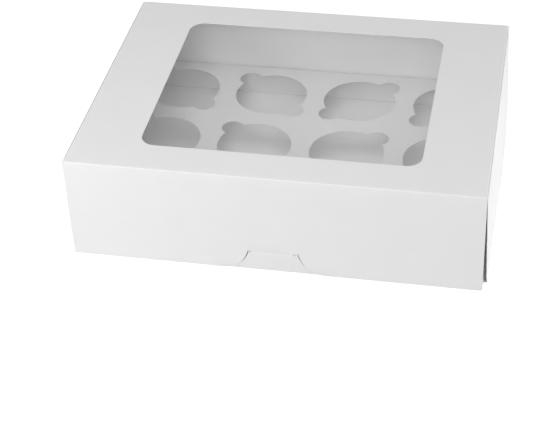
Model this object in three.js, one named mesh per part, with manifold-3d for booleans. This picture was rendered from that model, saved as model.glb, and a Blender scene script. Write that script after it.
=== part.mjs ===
// Window box for twelve cupcakes: a glued board tray, a hinged lid with a film window,
// the lid's front flap with its lock tongue, and the board insert that holds the cakes.
// Millimetres, +Z up. The front faces -Y and the lid is hinged along the back.
import * as THREE from "three";
import { mergeVertices } from "three/addons/utils/BufferGeometryUtils.js";
import Module from "manifold-3d";

const wasm = await Module();
wasm.setup();

// Driving dimensions
const LID_WIDTH = 330;
const LID_DEPTH = 254;
const BOX_HEIGHT = 88.9;
const BOARD = 0.5;
const FILM = 0.15;
const CREASE_RADIUS = 0.65;
const CREASE_STEPS = 4;
const FIT_GAP = 0.3;

// Tray: the side walls lean out to the floor and bow between their glued ends
const FLOOR_SPREAD = 4.2;
const SIDE_BOW = 4.8;
const FRONT_WALL_INSET = 1.4;
const SIDE_FOOT_LAP = 3;
const SIDE_CHAMFER = 9;
const SIDE_CHAMFER_HEIGHT = 12;
const CORNER_CREVICE = 0.4;
const TAB_LENGTH = 28;
const TAB_GLUED = 9;
const TAB_GLUE_SINK = 0.25;
const TAB_DROP_AT_FOLD = 10;
const TAB_DROP_AT_END = 27;
const TAB_FOOT_CHAMFER = 6;
const WALL_FOOT = 2;

// Lid: window, glued film and the side flaps that tuck inside the tray
const WINDOW_WIDTH = 224;
const WINDOW_DEPTH = 191;
const WINDOW_SHIFT = 0.5;
const WINDOW_CORNER = 12.7;
const FILM_OVERLAP = 11;
const FILM_CORNER = 4;
const EAR_DEPTH = 52;
const EAR_TILT = THREE.MathUtils.degToRad(6);
const EAR_END_SETBACK = 6;
const EAR_END_SLOPE = 13;
const EAR_CORNER = 14;

// Front flap: stands a little off the front wall, with a tongue cut in its lower edge
const FLAP_LEAN = THREE.MathUtils.degToRad(1.72);
const FLAP_FLOOR_GAP = 0.5;
const FLAP_CORNER = 3;
const FLAP_CREASE_LIP = 0.2;
const TONGUE_LENGTH = 17.5;
const TONGUE_WIDTH_AT_CREASE = 39.6;
const TONGUE_WIDTH_AT_TIP = 66;
const TONGUE_WAIST = 0.32;
const TONGUE_CUT = 0.6;
const TONGUE_CUT_OVERRUN = 1.4;
const TONGUE_BEND = THREE.MathUtils.degToRad(4.5);
const SLIT_WIDTH = 46;
const SLIT_HEIGHT = 1.2;

// Insert: four columns and three rows of cups
const CUP_COLUMNS = 4;
const CUP_ROWS = 3;
const CUP_PITCH = 80;
const CUP_HOLE = 64;
const CUP_LOBE = 20;
const CUP_LOBE_OFFSET = 33;
const CUP_LOBE_ANGLE = THREE.MathUtils.degToRad(45);
const INSERT_LEG = 28;
const INSERT_SIDE_CLEARANCE = 2.5;
const INSERT_END_CLEARANCE = 1.2;
const LEG_END_TRIM = 1.5;

// Levels and half sizes that follow from them
const halfLid = LID_WIDTH / 2;
const halfDepth = LID_DEPTH / 2;
const lidUnderside = BOX_HEIGHT - BOARD;
const wallTop = lidUnderside - FIT_GAP;
const halfFloor = halfLid + FLOOR_SPREAD;
const halfSideTop = halfLid + FIT_GAP + BOARD;
const frontWallFace = -halfDepth + FRONT_WALL_INSET;
const backWallFace = halfDepth;
const lidMiddle = BOX_HEIGHT - BOARD / 2;
const creaseReach = CREASE_RADIUS + BOARD / 2;
const flapFoot = halfDepth + Math.tan(FLAP_LEAN) * (BOX_HEIGHT - FLAP_FLOOR_GAP);
const flapLength = (BOX_HEIGHT - FLAP_FLOOR_GAP) / Math.cos(FLAP_LEAN);

const vec = (x, y) => new THREE.Vector2(x, y);

// Turns a closed three.js geometry into a solid that can be joined and cut.
function solid(geometry) {
  const plain = geometry.clone();
  plain.deleteAttribute("normal");
  plain.deleteAttribute("uv");
  const merged = mergeVertices(plain, 1e-5);
  return new wasm.Manifold(new wasm.Mesh({
    numProp: 3,
    vertProperties: new Float32Array(merged.attributes.position.array),
    triVerts: new Uint32Array(merged.index.array),
  }));
}

function geometryOf(body) {
  const { vertProperties, triVerts, numProp } = body.getMesh();
  const position = new Float32Array((vertProperties.length / numProp) * 3);
  for (let i = 0; i < position.length / 3; i += 1) {
    position.set(vertProperties.subarray(i * numProp, i * numProp + 3), i * 3);
  }
  const geometry = new THREE.BufferGeometry();
  geometry.setAttribute("position", new THREE.BufferAttribute(position, 3));
  geometry.setIndex(new THREE.BufferAttribute(new Uint32Array(triVerts), 1));
  geometry.computeVertexNormals();
  return geometry;
}

const join = (...bodies) => bodies.reduce((sum, body) => sum.add(body));
const cut = (body, ...tools) => tools.reduce((rest, tool) => rest.subtract(tool), body);

// Extrusions of a profile drawn in the YZ, XZ or XY plane.
function extrude(shape, length, basis, origin) {
  const geometry = new THREE.ExtrudeGeometry(shape, { depth: length, bevelEnabled: false, curveSegments: 10 });
  geometry.applyMatrix4(new THREE.Matrix4().makeBasis(...basis).setPosition(origin));
  return solid(geometry);
}
const axisX = new THREE.Vector3(1, 0, 0);
const axisY = new THREE.Vector3(0, 1, 0);
const axisZ = new THREE.Vector3(0, 0, 1);
const extrudeX = (shape, from, to) =>
  extrude(shape, to - from, [axisY, axisZ, axisX], new THREE.Vector3(from, 0, 0));
const extrudeY = (shape, from, to) =>
  extrude(shape, to - from, [axisX, axisZ, axisY.clone().negate()], new THREE.Vector3(0, to, 0));
const extrudeZ = (shape, from, to) =>
  extrude(shape, to - from, [axisX, axisY, axisZ], new THREE.Vector3(0, 0, from));

// A line through the given corners, each turned on the crease radius.
function creased(corners, radius = CREASE_RADIUS) {
  const line = [corners[0].clone()];
  for (let i = 1; i < corners.length - 1; i += 1) {
    const before = corners[i].clone().sub(corners[i - 1]).normalize();
    const after = corners[i + 1].clone().sub(corners[i]).normalize();
    const turn = Math.atan2(before.cross(after), before.dot(after));
    const start = corners[i].clone().addScaledVector(before, -radius * Math.tan(Math.abs(turn) / 2));
    const toCentre = vec(-before.y, before.x).multiplyScalar(Math.sign(turn) * radius);
    const centre = start.clone().add(toCentre);
    for (let step = 0; step <= CREASE_STEPS; step += 1) {
      line.push(start.clone().rotateAround(centre, (turn * step) / CREASE_STEPS));
    }
  }
  line.push(corners[corners.length - 1].clone());
  return line;
}

// The outline of a sheet of the given thickness that follows a centre line.
function band(line, thickness = BOARD) {
  const offset = (sign) => line.map((point, i) => {
    const before = line[Math.max(i, 1)].clone().sub(line[Math.max(i, 1) - 1]).normalize();
    const last = line.length - 2;
    const after = line[Math.min(i, last) + 1].clone().sub(line[Math.min(i, last)]).normalize();
    const normal = vec(-before.y - after.y, before.x + after.x).normalize();
    const reach = thickness / 2 / normal.dot(vec(-before.y, before.x));
    return point.clone().addScaledVector(normal, sign * reach);
  });
  return new THREE.Shape([...offset(1), ...offset(-1).reverse()]);
}

function roundedRectangle(width, depth, radius, centre = vec(0, 0)) {
  const [x, y] = [width / 2, depth / 2];
  const shape = new THREE.Shape();
  shape.absarc(centre.x + x - radius, centre.y - y + radius, radius, -Math.PI / 2, 0);
  shape.absarc(centre.x + x - radius, centre.y + y - radius, radius, 0, Math.PI / 2);
  shape.absarc(centre.x - x + radius, centre.y + y - radius, radius, Math.PI / 2, Math.PI);
  shape.absarc(centre.x - x + radius, centre.y - y + radius, radius, Math.PI, Math.PI * 1.5);
  return shape;
}

const rectangle = (x0, y0, x1, y1) => new THREE.Shape([vec(x0, y0), vec(x1, y0), vec(x1, y1), vec(x0, y1)]);

// A board sheet lofted over a grid of middle points: rows run along u, columns along v.
function sheet(rows, thickness = BOARD) {
  const nu = rows.length;
  const nv = rows[0].length;
  const at = (i, j) => rows[THREE.MathUtils.clamp(i, 0, nu - 1)][THREE.MathUtils.clamp(j, 0, nv - 1)];
  const position = [];
  for (const side of [1, -1]) {
    for (let i = 0; i < nu; i += 1) {
      for (let j = 0; j < nv; j += 1) {
        const along = at(i + 1, j).clone().sub(at(i - 1, j));
        const across = at(i, j + 1).clone().sub(at(i, j - 1));
        const normal = along.cross(across).normalize();
        position.push(...at(i, j).clone().addScaledVector(normal, (side * thickness) / 2));
      }
    }
  }
  const top = (i, j) => i * nv + j;
  const under = (i, j) => nu * nv + i * nv + j;
  const index = [];
  const quad = (a, b, c, d) => index.push(a, b, c, a, c, d);
  for (let i = 0; i < nu - 1; i += 1) {
    for (let j = 0; j < nv - 1; j += 1) {
      quad(top(i, j), top(i + 1, j), top(i + 1, j + 1), top(i, j + 1));
      quad(under(i, j), under(i, j + 1), under(i + 1, j + 1), under(i + 1, j));
    }
    quad(under(i, 0), under(i + 1, 0), top(i + 1, 0), top(i, 0));
    quad(top(i, nv - 1), top(i + 1, nv - 1), under(i + 1, nv - 1), under(i, nv - 1));
  }
  for (let j = 0; j < nv - 1; j += 1) {
    quad(under(0, j), top(0, j), top(0, j + 1), under(0, j + 1));
    quad(top(nu - 1, j), under(nu - 1, j), under(nu - 1, j + 1), top(nu - 1, j + 1));
  }
  const geometry = new THREE.BufferGeometry();
  geometry.setAttribute("position", new THREE.Float32BufferAttribute(position, 3));
  geometry.setIndex(index);
  return solid(geometry);
}

const steps = (count) => Array.from({ length: count + 1 }, (_, i) => i / count);

// Middle of a side wall's board at a place along the box and a height.
function sideWallX(y, z) {
  const up = THREE.MathUtils.clamp(z / wallTop, 0, 1);
  const along = THREE.MathUtils.clamp((y + halfDepth) / LID_DEPTH, 0, 1);
  const lean = THREE.MathUtils.lerp(halfFloor, halfSideTop, up) - BOARD / 2;
  return lean + SIDE_BOW * Math.sin(Math.PI * up) * Math.sin(Math.PI * along);
}

// One bowed side wall with its floor crease and chamfered feet.
function sideWall(side) {
  const middle = BOARD / 2;
  const foot = halfFloor - middle;
  const section = creased([vec(foot - SIDE_FOOT_LAP, middle), vec(foot, middle), vec(foot, CREASE_RADIUS * 2)]);
  section.pop();
  const first = section[section.length - 1].y;
  for (const t of steps(10)) section.push(vec(foot, THREE.MathUtils.lerp(first, wallTop, t)));
  section.splice(CREASE_STEPS + 1, 1);
  const rows = steps(18).map((u) => section.map(({ x, y: z }) => {
    const chamfer = SIDE_CHAMFER * THREE.MathUtils.clamp(1 - z / SIDE_CHAMFER_HEIGHT, 0, 1);
    const y = THREE.MathUtils.lerp(-halfDepth + chamfer, halfDepth - chamfer, u);
    const shift = x < foot ? 0 : sideWallX(y, z) - foot;
    return new THREE.Vector3(side * (x + shift), y, z);
  }));
  return sheet(rows);
}

// A front or back wall with the two tabs that are glued inside the side walls.
// facing is -1 for the front wall and +1 for the back wall.
function endWall(facing, face, top) {
  const y = face - (facing * BOARD) / 2;
  const tabEnd = y - facing * TAB_LENGTH;
  const glueStart = tabEnd + facing * TAB_GLUED;
  const inside = (place, z) => sideWallX(place, z) - BOARD + TAB_GLUE_SINK;
  const cornerX = (z) => Math.min(halfLid, sideWallX(face, z) - BOARD - CORNER_CREVICE) - BOARD / 2;
  const heights = steps(7).map((t) => THREE.MathUtils.lerp(WALL_FOOT, top, t));
  const columns = heights.map((z) => {
    const right = creased([vec(0, y), vec(cornerX(z), y), vec(inside(glueStart, z), glueStart)]);
    right.push(vec(inside(tabEnd, z), tabEnd));
    const left = right.slice(1).reverse().map((point) => vec(-point.x, point.y));
    return [...left, ...right].map((point) => new THREE.Vector3(point.x, point.y, z));
  });
  const rows = columns[0].map((_, i) => columns.map((column) => column[i]));
  const tabStart = halfLid - BOARD - CREASE_RADIUS - CORNER_CREVICE;
  const above = new THREE.Shape([
    vec(face + facing, top - TAB_DROP_AT_FOLD),
    vec(tabEnd - facing, top - TAB_DROP_AT_END),
    vec(tabEnd - facing, top + 1),
    vec(face + facing, top + 1),
  ]);
  const below = new THREE.Shape([
    vec(tabEnd + facing * TAB_FOOT_CHAMFER, WALL_FOOT - 1),
    vec(tabEnd - facing, WALL_FOOT - 1),
    vec(tabEnd - facing, WALL_FOOT + TAB_FOOT_CHAMFER),
  ]);
  const reach = halfFloor + SIDE_BOW;
  const trims = [above, below].flatMap((shape) => [
    extrudeX(shape, tabStart, reach), extrudeX(shape, -reach, -tabStart),
  ]);
  return cut(sheet(rows), ...trims);
}

// The floor, with the creases that turn up into the front and back walls.
function trayFloor() {
  const middle = BOARD / 2;
  const front = frontWallFace + middle;
  const back = backWallFace - middle;
  const creaseTop = WALL_FOOT + 1;
  const line = creased([vec(front, creaseTop), vec(front, middle), vec(back, middle), vec(back, creaseTop)]);
  const creaseHalf = halfLid - BOARD - CREASE_RADIUS - CORNER_CREVICE;
  const wide = halfFloor - CREASE_RADIUS - SIDE_FOOT_LAP / 2;
  const straight = halfDepth - SIDE_CHAMFER - SIDE_FOOT_LAP;
  const rightEdge = [
    vec(creaseHalf, front + CREASE_RADIUS), vec(wide, -straight), vec(wide, straight),
    vec(creaseHalf, back - CREASE_RADIUS),
  ];
  const leftEdge = rightEdge.map((point) => vec(-point.x, point.y)).reverse();
  const plate = new THREE.Shape([...rightEdge, ...leftEdge]);
  return join(extrudeX(band(line), -creaseHalf, creaseHalf), extrudeZ(plate, 0, BOARD));
}

function tray() {
  const slitLevel = FLAP_FLOOR_GAP + TONGUE_LENGTH;
  const slit = roundedRectangle(SLIT_WIDTH, SLIT_HEIGHT, SLIT_HEIGHT * 0.45, vec(0, slitLevel));
  const walls = join(
    trayFloor(),
    endWall(-1, frontWallFace, wallTop - FIT_GAP),
    endWall(1, backWallFace, BOX_HEIGHT - creaseReach - FIT_GAP),
    sideWall(1),
    sideWall(-1),
  );
  return cut(walls, extrudeY(slit, frontWallFace - 1, frontWallFace + BOARD + 1));
}

// The lid panel with its window, the back crease and the two tuck flaps along its sides.
function lid() {
  const corner = halfLid - BOARD / 2;
  const earX = corner - EAR_DEPTH * Math.sin(EAR_TILT);
  const earFoot = lidMiddle - EAR_DEPTH * Math.cos(EAR_TILT);
  const line = creased([
    vec(-earX, earFoot), vec(-corner, lidMiddle), vec(corner, lidMiddle), vec(earX, earFoot),
  ]);
  const backEdge = halfDepth - creaseReach;
  const panel = extrudeY(band(line), -halfDepth + creaseReach + FLAP_CREASE_LIP + FIT_GAP, backEdge);
  const backCrease = extrudeX(
    band(creased([
      vec(backEdge - BOARD, lidMiddle), vec(halfDepth - BOARD / 2, lidMiddle),
      vec(halfDepth - BOARD / 2, BOX_HEIGHT - creaseReach),
    ]).slice(0, -1)),
    -halfLid + creaseReach, halfLid - creaseReach,
  );
  const window = roundedRectangle(WINDOW_WIDTH, WINDOW_DEPTH, WINDOW_CORNER, vec(0, WINDOW_SHIFT));
  const earTop = BOX_HEIGHT - creaseReach;
  const trims = [-1, 1].map((end) => {
    const top = end * (halfDepth - EAR_END_SETBACK);
    const foot = top - end * EAR_END_SLOPE;
    const trim = new THREE.Shape();
    trim.moveTo(end * (halfDepth + 1), earTop);
    trim.lineTo(top, earTop);
    trim.lineTo(foot, earFoot + EAR_CORNER);
    trim.quadraticCurveTo(foot, earFoot, foot - end * EAR_CORNER, earFoot - BOARD);
    trim.lineTo(end * (halfDepth + 1), earFoot - BOARD);
    return extrudeX(trim, -halfLid - 1, halfLid + 1);
  });
  return cut(join(panel, backCrease), extrudeZ(window, lidUnderside - 1, BOX_HEIGHT + 1), ...trims);
}

function windowFilm() {
  const width = WINDOW_WIDTH + FILM_OVERLAP * 2;
  const depth = WINDOW_DEPTH + FILM_OVERLAP * 2;
  const top = lidUnderside - FIT_GAP;
  return extrudeZ(roundedRectangle(width, depth, FILM_CORNER, vec(0, WINDOW_SHIFT)), top - FILM, top);
}

// The tongue's outline above the flap's foot, grown by a margin, its crease end raised by an overrun.
function tongueOutline(foot, margin, overrun) {
  const crease = TONGUE_WIDTH_AT_CREASE / 2 + margin;
  const tip = TONGUE_WIDTH_AT_TIP / 2 + margin;
  const waist = vec(
    THREE.MathUtils.lerp(crease, tip, TONGUE_WAIST * 0.5), foot + TONGUE_LENGTH * TONGUE_WAIST,
  );
  const shape = new THREE.Shape();
  shape.moveTo(-crease, foot + TONGUE_LENGTH + overrun);
  shape.quadraticCurveTo(-waist.x, waist.y, -tip, foot - margin);
  shape.lineTo(tip, foot - margin);
  shape.quadraticCurveTo(waist.x, waist.y, crease, foot + TONGUE_LENGTH + overrun);
  return shape;
}

// The front flap, drawn upright: its outer face is on y = 0, its hinge line at z = 0, and its
// crease turns over the top into the lid's plane.
function frontFlap() {
  const foot = -flapLength;
  const middle = BOARD / 2;
  const corner = vec(middle, (middle * Math.sin(FLAP_LEAN) - middle) / Math.cos(FLAP_LEAN));
  const reach = creaseReach + FLAP_CREASE_LIP - middle;
  const lip = corner.clone().add(vec(Math.cos(FLAP_LEAN), Math.sin(FLAP_LEAN)).multiplyScalar(reach));
  const sheetLine = creased([vec(middle, foot), corner, lip]);
  const blank = extrudeX(band(sheetLine), -halfLid, halfLid);

  const corners = [-1, 1].map((side) => {
    const shape = new THREE.Shape();
    shape.moveTo(side * halfLid, foot + FLAP_CORNER);
    shape.quadraticCurveTo(side * halfLid, foot, side * (halfLid - FLAP_CORNER), foot);
    shape.lineTo(side * (halfLid - FLAP_CORNER), foot - 1);
    shape.lineTo(side * (halfLid + 1), foot - 1);
    shape.lineTo(side * (halfLid + 1), foot + FLAP_CORNER);
    return extrudeY(shape, -1, BOARD + 1);
  });
  const opening = extrudeY(tongueOutline(foot, TONGUE_CUT, TONGUE_CUT_OVERRUN), -1, BOARD + 1);
  const crease = foot + TONGUE_LENGTH;
  const halfCrease = TONGUE_WIDTH_AT_CREASE / 2;
  const creaseStrip = extrudeY(
    rectangle(-halfCrease, crease, halfCrease, crease + TONGUE_CUT_OVERRUN + BOARD), 0, BOARD,
  );
  const bend = new THREE.Matrix4().makeTranslation(0, 0, crease)
    .multiply(new THREE.Matrix4().makeRotationX(TONGUE_BEND))
    .multiply(new THREE.Matrix4().makeTranslation(0, 0, -crease));
  const tongue = extrudeY(tongueOutline(foot, 0, BOARD), 0, BOARD).transform(bend.elements);
  return join(cut(blank, opening, ...corners), creaseStrip, tongue);
}

// A cup hole: a circle with two finger lobes on its diagonal, mirrored across the box.
function cupHole(x, y) {
  const centre = vec(x, y);
  const circle = (radius, at) => {
    const shape = new THREE.Shape();
    shape.absarc(at.x, at.y, radius, 0, Math.PI * 2);
    return shape;
  };
  const drill = (shape, segments) => {
    const outline = new THREE.Shape(shape.getSpacedPoints(segments).slice(0, -1));
    return extrudeZ(outline, INSERT_LEG - CREASE_RADIUS, INSERT_LEG + BOARD * 2 + CREASE_RADIUS);
  };
  const lobe = (sign) => {
    const at = vec(sign * CUP_LOBE_OFFSET, 0).rotateAround(vec(0, 0), CUP_LOBE_ANGLE * Math.sign(x)).add(centre);
    return drill(circle(CUP_LOBE / 2, at), 20);
  };
  return join(drill(circle(CUP_HOLE / 2, centre), 44), lobe(1), lobe(-1));
}

// The insert: a perforated panel on four folded legs.
function insert() {
  const legFoot = BOARD + FIT_GAP;
  const level = legFoot + INSERT_LEG - BOARD / 2;
  const halfWidth = halfLid - INSERT_SIDE_CLEARANCE - BOARD / 2;
  const front = frontWallFace + BOARD + INSERT_END_CLEARANCE + BOARD / 2;
  const back = backWallFace - BOARD - INSERT_END_CLEARANCE - BOARD / 2;
  const legs = (low, high) => band(creased([
    vec(low, legFoot), vec(low, level), vec(high, level), vec(high, legFoot),
  ]));
  const trim = CREASE_RADIUS + LEG_END_TRIM;
  const across = extrudeX(legs(front, back), -halfWidth + trim, halfWidth - trim);
  const along = extrudeY(legs(-halfWidth, halfWidth), front + trim, back - trim);
  const middle = (front + back) / 2;
  const holes = [];
  for (let column = 0; column < CUP_COLUMNS; column += 1) {
    for (let row = 0; row < CUP_ROWS; row += 1) {
      const x = (column - (CUP_COLUMNS - 1) / 2) * CUP_PITCH;
      const y = middle + (row - (CUP_ROWS - 1) / 2) * CUP_PITCH;
      holes.push(cupHole(x, y));
    }
  }
  return cut(join(across, along), ...holes);
}

const board = new THREE.MeshStandardMaterial({ color: 0xececec, roughness: 0.62, metalness: 0 });
const insertBoard = new THREE.MeshStandardMaterial({ color: 0xe6e6e6, roughness: 0.7, metalness: 0 });
const clearFilm = new THREE.MeshStandardMaterial({
  color: 0xf6f8f8, roughness: 0.05, metalness: 0, transparent: true, opacity: 0.15,
});

function named(name, body, material) {
  const mesh = new THREE.Mesh(geometryOf(body), material);
  mesh.name = name;
  return mesh;
}

// The flap hangs from the lid's front edge and leans out towards its foot.
const flapHinge = new THREE.Group();
flapHinge.position.set(0, -halfDepth, BOX_HEIGHT);
flapHinge.rotation.x = -FLAP_LEAN;
flapHinge.add(named("front_flap", frontFlap(), board));

const box = new THREE.Group();
box.add(named("base", tray(), board));
box.add(named("cupcake_insert", insert(), insertBoard));
box.add(named("lid", lid(), board));
box.add(named("window_film", windowFilm(), clearFilm));
box.add(flapHinge);

// The origin lies on the floor under the middle of the closed box, leaning flap included.
box.position.y = (flapFoot - halfDepth) / 2;

export default box;
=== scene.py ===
"""Window box for twelve cupcakes: folded board and clear film over the fixed frame."""

import math

import bmesh
import bpy
from mathutils import Matrix, Vector


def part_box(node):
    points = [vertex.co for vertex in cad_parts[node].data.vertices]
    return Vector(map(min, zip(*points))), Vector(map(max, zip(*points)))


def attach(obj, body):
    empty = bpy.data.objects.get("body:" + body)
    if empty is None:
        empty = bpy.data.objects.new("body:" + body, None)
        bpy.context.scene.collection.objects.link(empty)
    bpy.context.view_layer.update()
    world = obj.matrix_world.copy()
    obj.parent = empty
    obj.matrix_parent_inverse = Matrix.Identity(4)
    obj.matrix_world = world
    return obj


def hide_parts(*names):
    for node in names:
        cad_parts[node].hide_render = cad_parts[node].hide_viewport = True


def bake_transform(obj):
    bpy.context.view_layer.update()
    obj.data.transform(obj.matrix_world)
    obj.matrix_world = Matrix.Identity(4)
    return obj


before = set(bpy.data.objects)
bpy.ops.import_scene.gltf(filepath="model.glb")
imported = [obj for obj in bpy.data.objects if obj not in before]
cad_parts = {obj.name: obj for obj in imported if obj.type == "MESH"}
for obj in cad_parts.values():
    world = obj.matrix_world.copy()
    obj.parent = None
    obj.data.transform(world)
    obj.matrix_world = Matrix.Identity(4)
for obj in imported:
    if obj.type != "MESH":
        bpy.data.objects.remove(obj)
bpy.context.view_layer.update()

MM = 0.001
LEFT, RIGHT = -1, 1
FRONT, BACK = -1, 1

LID_WIDTH = 330 * MM
LID_DEPTH = 254 * MM
BOARD = 0.5 * MM
CREASE_RADIUS = 0.65 * MM
CREASE_CUTS = 8
FIT_GAP = 0.3 * MM

# Lid: the window, and the tuck flaps along its sides, called ears here
WINDOW_WIDTH = 224 * MM
WINDOW_DEPTH = 191 * MM
WINDOW_SHIFT = 0.5 * MM
WINDOW_CORNER = 12.7 * MM
EAR_DEPTH = 52 * MM
EAR_TILT = math.radians(6)
EAR_END_SETBACK = 6 * MM
EAR_END_SLOPE = 13 * MM
EAR_CORNER = 14 * MM
EAR_NOTCH = 0.3 * MM

# Front flap and the lock tongue cut in its lower edge
FLAP_LEAN = math.radians(1.72)
FLAP_FLOOR_GAP = 0.5 * MM
FLAP_CORNER = 1.8 * MM
FLAP_CORNER_CUTS = 6
FLAP_SKEW = 0.8 * MM
TONGUE_LENGTH = 17.5 * MM
TONGUE_WIDTH_AT_CREASE = 39.6 * MM
TONGUE_WIDTH_AT_TIP = 70 * MM
TONGUE_WAIST = 0.32
TONGUE_FLARE = 0.22
TONGUE_EDGE_CUTS = 16
TONGUE_CUT = 0.35 * MM
TONGUE_CUT_OVERRUN = 1.4 * MM
TONGUE_BEND = math.radians(2.5)
SCORE_HALF = 0.6 * MM
SCORE_DEPTH = 0.15 * MM
SCORE_CUTS = 2
NICK_REACH = 17.6 * MM
NICK_SHIFT = -0.7 * MM
NICK_RADIUS = 0.6 * MM
NICK_ROUNDING = 0.98
NICK_CUTS = 3

# Tray: the side walls bow between their glued ends, and the right one leans out to the floor
FLOOR_SPREAD = {LEFT: 0.5 * MM, RIGHT: 4.2 * MM}
SIDE_BOW = 4.8 * MM
SIDE_SLACK = 0.05 * MM
SIDE_TOP_DROP = 0.35 * MM
SIDE_FOOT_LAP = 3 * MM
SIDE_CHAMFER = 9 * MM
SIDE_CHAMFER_HEIGHT = 12 * MM
FRONT_WALL_INSET = 1.4 * MM
CORNER_CREVICE = 0.4 * MM
TAB_LENGTH = 28 * MM
TAB_GLUED = 9 * MM
TAB_DROP_AT_FOLD = 10 * MM
TAB_DROP_AT_END = 27 * MM
TAB_FOOT_CHAMFER = 6 * MM
WALL_FOOT = 2 * MM
WALL_FOOT_TOLERANCE = 0.1 * MM
SLIT_WIDTH = 46 * MM
SLIT_HEIGHT = 1.2 * MM
SLIT_ROUNDING = 0.45
SLIT_CUTS = 5

# Spacing of the grid lines in the flat blanks
LID_PITCH = 11 * MM
EAR_PITCH = 9 * MM
FLAP_PITCH = 9 * MM
TONGUE_PITCH = 3 * MM
BACK_CREASE_PITCH = 22 * MM
SIDE_PITCH_ALONG = 8 * MM
SIDE_PITCH_UP = 6 * MM
FLOOR_PITCH = 12 * MM
END_WALL_PITCH = 7 * MM
TAB_PITCH = 3 * MM
TAB_FOLD_PITCH = BOARD / 2
LINE_DECIMALS = 7

# The die that cuts the blanks: its half height, and how far it cuts past their edges
DIE_REACH = 4 * BOARD
DIE_OVERRUN = 1 * MM
DIE_UNDER_TAB = 0.5 * MM
DIE_PAST_FLOOR = 0.3 * MM

# A face of the flat blank counts as board, not as cut edge, above this upward share of its normal
FACE_LIMIT = 0.5
SHARP_ANGLE = math.radians(35)
BOARD_FACE, INSIDE_FACE, CUT_EDGE = 0, 1, 2

# Levels and half sizes that follow from them and from the frame
HALF_LID = LID_WIDTH / 2
HALF_DEPTH = LID_DEPTH / 2
BOX_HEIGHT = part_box("lid")[1].z
ORIGIN_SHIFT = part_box("base")[1].y - HALF_DEPTH
LID_MIDDLE = BOX_HEIGHT - BOARD / 2
FRONT_WALL_TOP = BOX_HEIGHT - BOARD - 2 * FIT_GAP
BACK_WALL_TOP = BOX_HEIGHT - CREASE_RADIUS - BOARD / 2 - FIT_GAP
SIDE_TOP = BOX_HEIGHT - SIDE_TOP_DROP
FLOOR_MIDDLE = BOARD / 2
SIDE_FOOT_X = {side: HALF_LID + reach - BOARD / 2 for side, reach in FLOOR_SPREAD.items()}
SIDE_TOP_X = HALF_LID + SIDE_SLACK + BOARD / 2

# Camera that stands where the photograph's did
CAMERA_PLACE = Vector((190.8, -1010.4, 753.4)) * MM
CAMERA_AZIMUTH = math.radians(12.0)
CAMERA_PITCH = math.radians(37.96)
CAMERA_ROLL = math.radians(-2.28)
CAMERA_LENS = 96.45
CAMERA_SENSOR = 36
CAMERA_CLIP = 0.01

# Soft studio light. Lamps: place and size in metres, power in watts
WORLD_LIGHT = 0.44
LAMP_TARGET = (0, 0, 0.05)
LAMPS = {
    "front_left": ((-0.6, -0.42, 0.25), (0.4, 0.4), 1.5),
    "overhead": ((0.0, -0.5, 1.5), (0.9, 0.9), 4.3),
    "front": ((0.0, -1.25, 0.95), (0.6, 0.6), 4.9),
    "right": ((1.1, -0.12, 0.1), (0.5, 0.2), 5.3),
}

# Board surface: cloudy mottle, fine fibre grain and long shallow ripples
NOISE_RANGE = (0.25, 0.75)
MOTTLE = 0.02
MOTTLE_SCALE = 38.0
GRAIN_SCALE = 2600.0
GRAIN_HEIGHT = 0.00002
RIPPLE_SCALE = 14.0
RIPPLE_STRENGTH = 0.25
RIPPLE_HEIGHT = 0.0004
ROUGHNESS_BELOW = 0.04
ROUGHNESS_ABOVE = 0.05
BOARD_SPECULAR = 0.3

# Film: nearly all of it see-through
FILM_TINT = (0.97, 0.98, 0.98, 1)
FILM_ALPHA = 0.07
FILM_ROUGHNESS = 0.04
FILM_IOR = 1.45
FILM_WAVE_SCALE = 9.0
FILM_WAVE_STRENGTH = 0.3
FILM_WAVE_HEIGHT = 0.0006

# Floor: the camera sees it lifted to white, while its shadow stays
FLOOR_SIZE = 14
FLOOR_PLACE = (0, 2, 0)
FLOOR_GREY = 0.6
FLOOR_ROUGHNESS = 0.9
FLOOR_SPECULAR = 0.1
FLOOR_LIFT = 0.7


class Crease:
    """A fold in the flat blank: where it starts, how far it turns, and where the board goes."""

    def __init__(self, corner, turn):
        self.turn = turn
        self.setback = CREASE_RADIUS * math.tan(turn / 2)
        self.start = corner - self.setback
        self.arc = CREASE_RADIUS * turn

    def lines(self):
        return [self.start + self.arc * step / CREASE_CUTS for step in range(CREASE_CUTS + 1)]

    def flat_end(self, length):
        """Where a panel ends in the flat blank that reaches this far past the corner once folded."""
        return self.start + self.arc + length - self.setback

    def place(self, flat, height):
        """Distance along the first panel, and rise above its middle, of a point of the blank."""
        past = flat - self.start
        if past <= 0:
            return flat, height
        angle = min(past / CREASE_RADIUS, self.turn)
        rest = past - angle * CREASE_RADIUS
        radius = CREASE_RADIUS + height
        along = radius * math.sin(angle) + rest * math.cos(angle)
        rise = radius * math.cos(angle) - CREASE_RADIUS - rest * math.sin(angle)
        return self.start + along, rise


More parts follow.
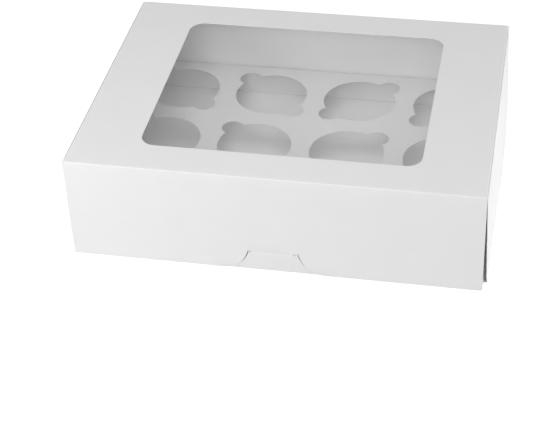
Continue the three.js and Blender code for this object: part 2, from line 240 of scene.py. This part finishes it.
# Lid blank: its folds, and places in the flat board that follow from them
SIDE_CREASE = Crease(HALF_LID - BOARD / 2, math.pi / 2 + EAR_TILT)
FRONT_CREASE = Crease(
    HALF_DEPTH - BOARD / 2 * (1 - math.sin(FLAP_LEAN)) / math.cos(FLAP_LEAN),
    math.pi / 2 - FLAP_LEAN,
)
BACK_CREASE = Crease(HALF_DEPTH - BOARD / 2, math.pi / 2)
FLAP_LENGTH = (BOX_HEIGHT - FLAP_FLOOR_GAP) / math.cos(FLAP_LEAN) - BOARD / 2
FLAP_FOOT = -FRONT_CREASE.flat_end(FLAP_LENGTH)
EAR_ROOT = SIDE_CREASE.start + SIDE_CREASE.arc
EAR_FOOT = SIDE_CREASE.flat_end(EAR_DEPTH)
EAR_HALF = HALF_DEPTH - EAR_END_SETBACK
TONGUE_CREASE = FLAP_FOOT + TONGUE_LENGTH
PANEL_BACK = BACK_CREASE.start - 2 * BOARD

# Tray blank: the folds of the front and back walls, and places in the flat board
END_CREASES = {
    FRONT: Crease(HALF_DEPTH - FRONT_WALL_INSET - BOARD / 2, math.pi / 2),
    BACK: Crease(HALF_DEPTH - BOARD / 2, math.pi / 2),
}
END_TOPS = {
    FRONT: END_CREASES[FRONT].flat_end(FRONT_WALL_TOP - FLOOR_MIDDLE),
    BACK: END_CREASES[BACK].flat_end(BACK_WALL_TOP - FLOOR_MIDDLE),
}
END_FEET = {end: crease.flat_end(WALL_FOOT) for end, crease in END_CREASES.items()}
CREASE_HALF = HALF_LID - BOARD - CREASE_RADIUS - CORNER_CREVICE
TAB_END = HALF_LID - CREASE_RADIUS + TAB_LENGTH
FLOOR_HALF = {side: foot - CREASE_RADIUS - SIDE_FOOT_LAP / 2 for side, foot in SIDE_FOOT_X.items()}


def make_camera():
    az, pitch, roll = CAMERA_AZIMUTH, CAMERA_PITCH, CAMERA_ROLL
    ahead = math.cos(pitch)
    forward = Vector((-math.sin(az) * ahead, math.cos(az) * ahead, -math.sin(pitch)))
    level = Vector((math.cos(az), math.sin(az), 0))
    raised = level.cross(forward)
    right = level * math.cos(roll) + raised * math.sin(roll)
    up = raised * math.cos(roll) - level * math.sin(roll)
    data = bpy.data.cameras.new("camera")
    data.lens = CAMERA_LENS
    data.sensor_fit = "HORIZONTAL"
    data.sensor_width = CAMERA_SENSOR
    data.clip_start = CAMERA_CLIP
    camera = bpy.data.objects.new("camera", data)
    turn = Matrix((right, up, -forward)).transposed().to_4x4()
    camera.matrix_world = Matrix.Translation(CAMERA_PLACE) @ turn
    bpy.context.scene.collection.objects.link(camera)
    bpy.context.scene.camera = camera


def grey(level):
    return (level, level, level, 1)


class Nodes:
    """Short calls for building a material's node tree."""

    def __init__(self, name):
        self.material = bpy.data.materials.new(name)
        self.material.use_nodes = True
        self.tree = self.material.node_tree
        self.shader = self.tree.nodes["Principled BSDF"]

    def add(self, kind, **inputs):
        node = self.tree.nodes.new(kind)
        for key, value in inputs.items():
            node.inputs[key].default_value = value
        return node

    def set(self, key, value):
        self.shader.inputs[key].default_value = value

    def link(self, source, target):
        self.tree.links.new(source, target)

    def noise(self, place, scale, detail, roughness=0.55):
        node = self.add("ShaderNodeTexNoise", Scale=scale, Detail=detail, Roughness=roughness)
        self.link(place, node.inputs["Vector"])
        return node.outputs["Fac"]

    def stretch(self, value, low, high):
        """Maps the range that noise mostly keeps to onto low to high."""
        node = self.add("ShaderNodeMapRange")
        node.inputs["From Min"].default_value, node.inputs["From Max"].default_value = NOISE_RANGE
        node.inputs["To Min"].default_value = low
        node.inputs["To Max"].default_value = high
        self.link(value, node.inputs["Value"])
        return node.outputs["Result"]

    def bump(self, height, strength, distance, under=None):
        node = self.add("ShaderNodeBump", Strength=strength, Distance=distance)
        self.link(height, node.inputs["Height"])
        if under:
            self.link(under, node.inputs["Normal"])
        return node.outputs["Normal"]


def paperboard(name, level, roughness, fibre=0.35):
    """Coated or bare white board: faint mottle, fibre bump and a soft satin gloss."""
    n = Nodes(name)
    place = n.add("ShaderNodeTexCoord").outputs["Object"]
    cloud = n.noise(place, MOTTLE_SCALE, detail=5.0)
    grain = n.noise(place, GRAIN_SCALE, detail=3.0, roughness=0.7)
    ripple = n.noise(place, RIPPLE_SCALE, detail=1.0)
    pale = n.add("ShaderNodeMix")
    pale.data_type = "RGBA"
    pale.inputs["A"].default_value = grey(level * (1 - MOTTLE))
    pale.inputs["B"].default_value = grey(level)
    n.link(n.stretch(cloud, 0.0, 1.0), pale.inputs["Factor"])
    n.link(pale.outputs["Result"], n.shader.inputs["Base Color"])
    satin = n.stretch(cloud, roughness - ROUGHNESS_BELOW, roughness + ROUGHNESS_ABOVE)
    n.link(satin, n.shader.inputs["Roughness"])
    waves = n.bump(ripple, RIPPLE_STRENGTH, RIPPLE_HEIGHT)
    n.link(n.bump(grain, fibre, GRAIN_HEIGHT, waves), n.shader.inputs["Normal"])
    n.set("Specular IOR Level", BOARD_SPECULAR)
    return n.material


def film(name):
    """Thin clear sheet: almost no tint, a weak reflection and faint waves."""
    n = Nodes(name)
    place = n.add("ShaderNodeTexCoord").outputs["Object"]
    n.set("Base Color", FILM_TINT)
    n.set("Roughness", FILM_ROUGHNESS)
    n.set("IOR", FILM_IOR)
    n.set("Alpha", FILM_ALPHA)
    waves = n.noise(place, FILM_WAVE_SCALE, detail=2.0)
    n.link(n.bump(waves, FILM_WAVE_STRENGTH, FILM_WAVE_HEIGHT), n.shader.inputs["Normal"])
    return n.material


def divided(low, high, pitch):
    """Lines from low to high, evenly spaced and about a pitch apart."""
    count = max(1, round((high - low) / pitch))
    return [low + (high - low) * i / count for i in range(count + 1)]


def whole(u, v):
    """For a blank that fills its whole grid."""
    return True


def slab(name, us, vs, filled):
    """Flat board over the grid cells whose middles filled() accepts, its own middle at height 0."""
    us, vs = [sorted({round(line, LINE_DECIMALS) for line in lines}) for lines in (us, vs)]
    mesh = bmesh.new()
    corners = {}

    def corner(i, j, side):
        if (i, j, side) not in corners:
            corners[i, j, side] = mesh.verts.new((us[i], vs[j], side * BOARD / 2))
        return corners[i, j, side]

    def in_blank(i, j):
        if not (0 <= i < len(us) - 1 and 0 <= j < len(vs) - 1):
            return False
        return filled((us[i] + us[i + 1]) / 2, (vs[j] + vs[j + 1]) / 2)

    for i in range(len(us) - 1):
        for j in range(len(vs) - 1):
            if not in_blank(i, j):
                continue
            ring = [(i, j), (i + 1, j), (i + 1, j + 1), (i, j + 1)]
            mesh.faces.new([corner(*at, 1) for at in ring])
            mesh.faces.new([corner(*at, -1) for at in reversed(ring)])
            beyond = [(i, j - 1), (i + 1, j), (i, j + 1), (i - 1, j)]
            for side, cell in enumerate(beyond):
                if not in_blank(*cell):
                    a, b = ring[side], ring[(side + 1) % 4]
                    mesh.faces.new([corner(*b, 1), corner(*a, 1), corner(*a, -1), corner(*b, -1)])
    return as_object(name, mesh)


def as_object(name, mesh):
    data = bpy.data.meshes.new(name)
    mesh.to_mesh(data)
    mesh.free()
    obj = bpy.data.objects.new(name, data)
    bpy.context.scene.collection.objects.link(obj)
    return obj


def quadratic(a, control, b, cuts=10):
    """Points along a curve from a to b that bends towards the control point."""
    a, control, b = Vector(a), Vector(control), Vector(b)
    points = []
    for step in range(cuts + 1):
        t = step / cuts
        points.append(a * (1 - t) ** 2 + control * 2 * t * (1 - t) + b * t**2)
    return points


def rounded_rectangle(width, depth, radius, centre, cuts=14):
    points = []
    for quarter, (sx, sy) in enumerate([(1, 1), (-1, 1), (-1, -1), (1, -1)]):
        x = centre[0] + sx * (width / 2 - radius)
        y = centre[1] + sy * (depth / 2 - radius)
        for step in range(cuts + 1):
            angle = math.pi / 2 * (quarter + step / cuts)
            points.append(Vector((x, y)) + Vector((math.cos(angle), math.sin(angle))) * radius)
    return points


def mirrored(points, side, end=1):
    """Points given for the positive side and end, turned to the wanted ones."""
    return [Vector((side * x, end * y)) for x, y in points]


def punch(board, outlines):
    """Cuts the outlines through a flat board, like a die."""
    mesh = bmesh.new()
    for outline in outlines:
        levels = (-DIE_REACH, DIE_REACH)
        low, high = [[mesh.verts.new((*p, level)) for p in outline] for level in levels]
        mesh.faces.new(list(reversed(low)))
        mesh.faces.new(high)
        for i in range(len(outline)):
            j = (i + 1) % len(outline)
            mesh.faces.new([low[i], low[j], high[j], high[i]])
    bmesh.ops.recalc_face_normals(mesh, faces=mesh.faces)
    die = as_object("die", mesh)
    cut = board.modifiers.new("die", "BOOLEAN")
    cut.operation = "DIFFERENCE"
    cut.solver = "MANIFOLD"
    cut.object = die
    evaluated = board.evaluated_get(bpy.context.evaluated_depsgraph_get())
    data = bpy.data.meshes.new_from_object(evaluated)
    board.modifiers.clear()
    board.data = data
    bpy.data.objects.remove(die)


def finish_board(board, place, materials, inside=-1):
    """Folds a punched blank: place() says where its points go, inside which face lines the box."""
    data = board.data
    data.materials.clear()
    for material in materials:
        data.materials.append(material)
    for polygon in data.polygons:
        up = polygon.normal.z
        if abs(up) < FACE_LIMIT:
            polygon.material_index = CUT_EDGE
        else:
            polygon.material_index = INSIDE_FACE if up * inside > 0 else BOARD_FACE
    for vertex in data.vertices:
        vertex.co = place(*vertex.co)
    data.polygons.foreach_set("use_smooth", [True] * len(data.polygons))
    data.set_sharp_from_angle(angle=SHARP_ANGLE)


def tongue_edge(margin, top):
    """One side of the tongue, from its foot up to the given line, grown by a margin."""
    at_crease = TONGUE_WIDTH_AT_CREASE / 2 + margin
    at_tip = TONGUE_WIDTH_AT_TIP / 2 + margin
    waist = at_crease + (at_tip - at_crease) * TONGUE_FLARE
    control = (waist, FLAP_FOOT + TONGUE_LENGTH * TONGUE_WAIST)
    return quadratic((at_tip, FLAP_FOOT - margin), control, (at_crease, top), TONGUE_EDGE_CUTS)


def tongue_cut(side):
    """The thin cut between the flap and one side of the tongue."""
    outer = tongue_edge(TONGUE_CUT, TONGUE_CREASE + TONGUE_CUT_OVERRUN)
    inner = tongue_edge(0, TONGUE_CREASE)
    inner.append(Vector((inner[-1].x, TONGUE_CREASE + TONGUE_CUT_OVERRUN)))
    inner[0].y -= TONGUE_CUT
    return mirrored(outer + inner[::-1], side)


def tongue_half(v):
    """Half the tongue's width at a line of the blank, to the middle of its cuts."""
    edge = tongue_edge(TONGUE_CUT / 2, TONGUE_CREASE)
    for a, b in zip(edge, edge[1:]):
        if a.y <= v <= b.y:
            return a.x + (b.x - a.x) * (v - a.y) / (b.y - a.y)
    return edge[0].x


def crease_nick(side):
    """The small round nick near one end of the tongue's crease."""
    centre = (side * NICK_REACH + NICK_SHIFT, TONGUE_CREASE)
    across = 2 * NICK_RADIUS
    return rounded_rectangle(across, across, NICK_RADIUS * NICK_ROUNDING, centre, NICK_CUTS)


def flap_corner(side):
    """What the die takes off a foot corner of the front flap."""
    inner, top = HALF_LID - FLAP_CORNER, FLAP_FOOT + FLAP_CORNER
    curve = quadratic((HALF_LID, top), (HALF_LID, FLAP_FOOT), (inner, FLAP_FOOT), FLAP_CORNER_CUTS)
    beyond, below = HALF_LID + DIE_OVERRUN, FLAP_FOOT - DIE_OVERRUN
    return mirrored([*curve, (inner, below), (beyond, below), (beyond, top)], side)


def ear_end(side, end):
    """What the die takes off an ear's end: a slope, then a rounded corner at the foot."""
    low = EAR_HALF - EAR_END_SLOPE
    curve = quadratic((EAR_FOOT - EAR_CORNER, low), (EAR_FOOT, low), (EAR_FOOT, low - EAR_CORNER))
    beyond, above = EAR_FOOT + DIE_OVERRUN, EAR_HALF + DIE_OVERRUN
    outside = [(beyond, low - EAR_CORNER), (beyond, above), (EAR_ROOT, above)]
    return mirrored([(EAR_ROOT, EAR_HALF), *curve, *outside], side, end)


def lid_grid():
    """Lines across and along the flat lid blank, close together where it folds."""
    ear_lines = SIDE_CREASE.lines() + divided(EAR_ROOT, EAR_FOOT, EAR_PITCH)
    us = divided(-SIDE_CREASE.start, SIDE_CREASE.start, LID_PITCH) + [-HALF_LID, HALF_LID]
    us += ear_lines + [-u for u in ear_lines]
    vs = divided(-FRONT_CREASE.start, PANEL_BACK, LID_PITCH) + [-EAR_HALF, EAR_HALF]
    vs += [-EAR_HALF - EAR_NOTCH, EAR_HALF + EAR_NOTCH]
    vs += [-v for v in FRONT_CREASE.lines()]
    vs += divided(FLAP_FOOT, TONGUE_CREASE, TONGUE_PITCH)
    for step in range(-SCORE_CUTS, SCORE_CUTS + 1):
        vs.append(TONGUE_CREASE + SCORE_HALF * step / SCORE_CUTS)
    vs += divided(TONGUE_CREASE, -FRONT_CREASE.start - FRONT_CREASE.arc, FLAP_PITCH)
    return us, vs


def in_lid_blank(u, v):
    """Front flap, then the panel with its ears, then the panel's ends, notched beside each ear."""
    if v < -FRONT_CREASE.start:
        return abs(u) < HALF_LID
    if abs(v) < EAR_HALF:
        return abs(u) < EAR_FOOT
    return abs(u) < (SIDE_CREASE.start if abs(v) < EAR_HALF + EAR_NOTCH else HALF_LID)


def fold_lid(u, v, height):
    """Where a point of the flat lid blank goes: the tongue bends, then the ears and the flap fold."""
    if abs(u) < TONGUE_WIDTH_AT_CREASE / 2:
        height -= SCORE_DEPTH * max(0, 1 - abs(v - TONGUE_CREASE) / SCORE_HALF)
    x, y, z = u, v, height
    if v < TONGUE_CREASE and abs(u) < tongue_half(v):
        reach = TONGUE_CREASE - v
        y = TONGUE_CREASE - reach * math.cos(TONGUE_BEND) + height * math.sin(TONGUE_BEND)
        z = height * math.cos(TONGUE_BEND) - reach * math.sin(TONGUE_BEND)
    if abs(v) < EAR_HALF + EAR_NOTCH / 2 and abs(u) > SIDE_CREASE.start:
        along, z = SIDE_CREASE.place(abs(u), height)
        x = math.copysign(along, u)
    elif v < 0:
        x += FLAP_SKEW * max(0, (-y - FRONT_CREASE.start) / (-FLAP_FOOT - FRONT_CREASE.start))
        along, z = FRONT_CREASE.place(-y, z)
        y = -along
    return Vector((x, y + ORIGIN_SHIFT, LID_MIDDLE + z))


def make_lid_board(materials):
    """Lid panel, side ears and front flap: one blank, punched flat and then folded."""
    board = slab("lid_board", *lid_grid(), in_lid_blank)
    outlines = [rounded_rectangle(WINDOW_WIDTH, WINDOW_DEPTH, WINDOW_CORNER, (0, WINDOW_SHIFT))]
    for side in (LEFT, RIGHT):
        outlines += [tongue_cut(side), crease_nick(side), flap_corner(side)]
        outlines += [ear_end(side, end) for end in (FRONT, BACK)]
    punch(board, outlines)
    finish_board(board, fold_lid, materials)
    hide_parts("lid", "front_flap")
    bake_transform(board)


def make_back_crease(materials):
    """The strip of board that turns from the back wall's top edge into the lid."""
    half = HALF_LID - CREASE_RADIUS - BOARD / 2
    foot = BACK_CREASE.flat_end(LID_MIDDLE - BACK_WALL_TOP)
    lines = [PANEL_BACK, *BACK_CREASE.lines(), foot]
    strip = slab("back_crease", divided(-half, half, BACK_CREASE_PITCH), lines, whole)

    def place(u, v, height):
        along, rise = BACK_CREASE.place(v, height)
        return Vector((u, along + ORIGIN_SHIFT, LID_MIDDLE + rise))

    finish_board(strip, place, materials)
    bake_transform(strip)


def side_wall_x(side, y, z):
    """How far out the middle of a side wall's board stands, at a place along the box and a height."""
    up = min(max(z / SIDE_TOP, 0), 1)
    along = min(max((y + HALF_DEPTH) / LID_DEPTH, 0), 1)
    lean = SIDE_FOOT_X[side] + (SIDE_TOP_X - SIDE_FOOT_X[side]) * up
    return lean + SIDE_BOW * math.sin(math.pi * up) * math.sin(math.pi * along)


def make_side_wall(side, materials):
    """A bowed side wall with its floor crease, its feet chamfered."""
    crease = Crease(SIDE_FOOT_X[side], math.pi / 2)
    top = crease.flat_end(SIDE_TOP - FLOOR_MIDDLE)
    lap = crease.start - SIDE_FOOT_LAP
    ys = divided(-HALF_DEPTH, HALF_DEPTH, SIDE_PITCH_ALONG)
    paths = [lap, *crease.lines(), *divided(crease.start + crease.arc, top, SIDE_PITCH_UP)]
    wall = slab(f"tray_side_{'right' if side == RIGHT else 'left'}", ys, paths, whole)
    foot = crease.flat_end(0)
    below, level = lap - DIE_OVERRUN, foot + SIDE_CHAMFER_HEIGHT
    inner, outer = HALF_DEPTH - SIDE_CHAMFER, HALF_DEPTH + DIE_OVERRUN
    chamfer = [(inner, below), (inner, foot), (HALF_DEPTH, level), (outer, level), (outer, below)]
    punch(wall, [mirrored(chamfer, end) for end in (FRONT, BACK)])

    def place(y, path, height):
        x, rise = crease.place(path, height * side)
        z = FLOOR_MIDDLE - rise
        if path > crease.start:
            x += side_wall_x(side, y, z) - SIDE_FOOT_X[side]
        return Vector((side * x, y + ORIGIN_SHIFT, z))

    finish_board(wall, place, materials, inside=-side)
    return wall


def tab_place(side, far, height, z, wall_middle):
    """Where a point of an end wall goes in plan: round the corner, then along the glued tab."""
    def touching(y):
        return side_wall_x(side, -y, z) - BOARD - SIDE_SLACK

    reach = side_wall_x(side, -wall_middle, z) - BOARD - CORNER_CREVICE
    corner_x = min(HALF_LID, reach) - BOARD / 2
    glue = wall_middle - TAB_LENGTH + TAB_GLUED
    lean = math.atan2(touching(glue) - corner_x, wall_middle - glue)
    crease = Crease(corner_x, math.pi / 2 - lean)
    to_glue = crease.flat_end((wall_middle - glue) / math.cos(lean))
    x, rise = crease.place(min(far, to_glue), height)
    y = wall_middle + rise
    if far > to_glue:
        y -= far - to_glue
        x = touching(y) + height
    return x, y


def tray_grid():
    """Lines across and along the flat blank of the floor and the end walls."""
    fold_lines = divided(CREASE_HALF - BOARD, HALF_LID + BOARD, TAB_FOLD_PITCH)
    tab_lines = divided(HALF_LID + BOARD, TAB_END, TAB_PITCH)
    us = divided(-CREASE_HALF + BOARD, CREASE_HALF - BOARD, FLOOR_PITCH)
    us += [-CREASE_HALF, CREASE_HALF]
    for side in (LEFT, RIGHT):
        us += [side * u for u in [*fold_lines, *tab_lines, FLOOR_HALF[side]]]
    vs = divided(-END_CREASES[FRONT].start, END_CREASES[BACK].start, FLOOR_PITCH)
    for end in (FRONT, BACK):
        rising = END_CREASES[end].lines() + divided(END_FEET[end], END_TOPS[end], END_WALL_PITCH)
        vs += [end * v for v in rising]
    return us, vs


def in_tray_blank(u, v):
    """Floor, then the narrower folds, then the end walls with their tabs."""
    end = BACK if v > 0 else FRONT
    if abs(v) < END_CREASES[end].start:
        return -FLOOR_HALF[LEFT] < u < FLOOR_HALF[RIGHT]
    return abs(u) < (CREASE_HALF if abs(v) < END_FEET[end] else TAB_END)


def tray_corner_cuts(side, end):
    """What the die takes off one corner: above the tab, below it, and off the floor."""
    top, foot, fold = END_TOPS[end], END_FEET[end], END_CREASES[end].start
    beyond = TAB_END + DIE_OVERRUN
    above = [
        (HALF_LID, top + DIE_OVERRUN), (HALF_LID, top - TAB_DROP_AT_FOLD),
        (beyond, top - TAB_DROP_AT_END), (beyond, top + DIE_OVERRUN),
    ]
    chamfer, under = TAB_END - TAB_FOOT_CHAMFER, foot - DIE_UNDER_TAB
    below = [
        (chamfer, foot), (chamfer, under),
        (beyond, under), (beyond, foot + TAB_FOOT_CHAMFER + DIE_OVERRUN),
    ]
    outer, inner = FLOOR_HALF[side] + DIE_OVERRUN, HALF_DEPTH - SIDE_CHAMFER - SIDE_FOOT_LAP
    floor = [
        (CREASE_HALF, fold), (FLOOR_HALF[side], inner), (outer, inner),
        (outer, fold + DIE_PAST_FLOOR), (CREASE_HALF, fold + DIE_PAST_FLOOR),
    ]
    return [mirrored(shape, side, end) for shape in (above, below, floor)]


def fold_tray_ends(u, v, height):
    """Where a point of the flat floor and end walls goes."""
    end = BACK if v > 0 else FRONT
    crease = END_CREASES[end]
    along, rise = crease.place(abs(v), -height)
    x, z = u, FLOOR_MIDDLE - rise
    if abs(v) > END_FEET[end] - WALL_FOOT_TOLERANCE:
        side = RIGHT if u > 0 else LEFT
        far, along = tab_place(side, abs(u), -height, z, crease.start + CREASE_RADIUS)
        x = math.copysign(far, u)
    return Vector((x, end * along + ORIGIN_SHIFT, z))


def make_tray_ends(materials):
    """The floor with the front and back walls turned up from it, and their four corner tabs."""
    board = slab("tray_ends", *tray_grid(), in_tray_blank)
    slit_level = FLAP_FLOOR_GAP + TONGUE_LENGTH
    slit_place = (0, -END_CREASES[FRONT].flat_end(slit_level - FLOOR_MIDDLE))
    slit_radius = SLIT_HEIGHT * SLIT_ROUNDING
    outlines = [rounded_rectangle(SLIT_WIDTH, SLIT_HEIGHT, slit_radius, slit_place, SLIT_CUTS)]
    for side in (LEFT, RIGHT):
        for end in (FRONT, BACK):
            outlines += tray_corner_cuts(side, end)
    punch(board, outlines)
    finish_board(board, fold_tray_ends, materials, inside=1)
    return board


def make_tray(materials):
    ends = make_tray_ends(materials)
    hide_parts("base")
    walls = [make_side_wall(side, materials) for side in (LEFT, RIGHT)]
    for board in [ends, *walls]:
        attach(board, "base")


def dress(name, material):
    """Gives a solid of the frame its material."""
    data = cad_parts[name].data
    data.materials.clear()
    data.materials.append(material)


def make_floor():
    bpy.ops.mesh.primitive_plane_add(size=FLOOR_SIZE, location=FLOOR_PLACE)
    floor = bpy.context.object
    floor.name = "floor"
    n = Nodes("floor_white")
    n.set("Base Color", grey(FLOOR_GREY))
    n.set("Roughness", FLOOR_ROUGHNESS)
    n.set("Specular IOR Level", FLOOR_SPECULAR)
    seen = n.add("ShaderNodeLightPath")
    lift = n.add("ShaderNodeMath")
    lift.operation = "MULTIPLY"
    lift.inputs[1].default_value = FLOOR_LIFT
    n.link(seen.outputs["Is Camera Ray"], lift.inputs[0])
    n.set("Emission Color", grey(1))
    n.link(lift.outputs["Value"], n.shader.inputs["Emission Strength"])
    floor.data.materials.append(n.material)


def make_light(name, place, size, power):
    data = bpy.data.lights.new(name, "AREA")
    data.shape = "RECTANGLE"
    data.size, data.size_y = size
    data.energy = power
    lamp = bpy.data.objects.new(name, data)
    lamp.location = place
    aim = Vector(LAMP_TARGET) - Vector(place)
    lamp.rotation_euler = aim.to_track_quat("-Z", "Y").to_euler()
    bpy.context.scene.collection.objects.link(lamp)


def make_world():
    """Even white light all round, which the camera sees at full white."""
    world = bpy.data.worlds.new("studio")
    bpy.context.scene.world = world
    world.use_nodes = True
    tree = world.node_tree
    background = tree.nodes["Background"]
    background.inputs["Color"].default_value = grey(1)
    seen = tree.nodes.new("ShaderNodeLightPath")
    strength = tree.nodes.new("ShaderNodeMath")
    strength.operation = "MULTIPLY_ADD"
    strength.inputs[1].default_value = 1 - WORLD_LIGHT
    strength.inputs[2].default_value = WORLD_LIGHT
    tree.links.new(seen.outputs["Is Camera Ray"], strength.inputs[0])
    tree.links.new(strength.outputs["Value"], background.inputs["Strength"])


bpy.context.scene.view_settings.view_transform = "Standard"
make_camera()
make_world()
make_floor()
for name, (place, size, power) in LAMPS.items():
    make_light(name, place, size, power)

white_board = paperboard("white_board", level=0.91, roughness=0.6)
# Inside faces: bare, matte board, painted lighter than the coated outside as painted light on the
# shaded inside of the box
bare_inside_painted_lighter = paperboard("bare_inside_painted_lighter", level=0.97, roughness=0.7)
# Cut edges: rougher, with more fibre, and painted a little lighter than the face as a painted
# highlight along the edges
cut_edge_painted_highlight = paperboard("cut_edge_painted_highlight", level=0.94, roughness=0.85, fibre=0.6)
insert_board = paperboard("insert_board", level=0.88, roughness=0.65)
board_materials = (white_board, bare_inside_painted_lighter, cut_edge_painted_highlight)
make_tray(board_materials)
dress("cupcake_insert", insert_board)
dress("window_film", film("clear_film"))
make_lid_board(board_materials)
make_back_crease(board_materials)
